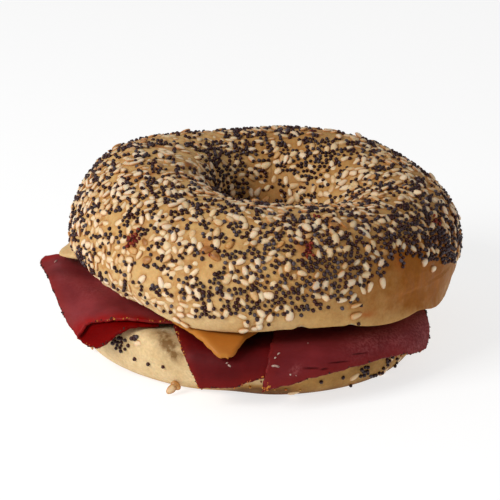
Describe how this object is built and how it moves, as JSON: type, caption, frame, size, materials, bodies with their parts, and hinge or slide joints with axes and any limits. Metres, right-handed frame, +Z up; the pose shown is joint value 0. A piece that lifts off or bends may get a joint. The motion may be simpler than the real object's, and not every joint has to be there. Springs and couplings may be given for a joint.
{
  "type": "bagel sandwich",
  "caption": "Seeded bagel cut in half, with thin slices of cured meat and a slice of cheese between the halves, hanging out at the front and left.",
  "frame": {"origin": "bottom centre of the bounding box, on the surface the sandwich stands on", "axes": "+Z up, -Y towards the front where the cheese corner hangs out, +X to the right seen from the front"},
  "size_m": [0.1182, 0.1136, 0.0553],
  "materials": {
    "crust": "golden baked crust covered with sesame and poppy seeds",
    "pale_crust": "pale smooth baked crust",
    "cured_meat": "moist dark burgundy meat with a dark spiced edge",
    "red_meat": "moist bright red meat",
    "cheese": "smooth waxy orange cheese"
  },
  "bodies": {
    "root": {"top_bun": "crust", "bottom_bun": "pale_crust", "slice_left_upper": "cured_meat", "slice_left_under": "red_meat", "slice_middle": "cured_meat", "slice_right": "cured_meat", "cheese": "cheese"}
  },
  "joints": []
}
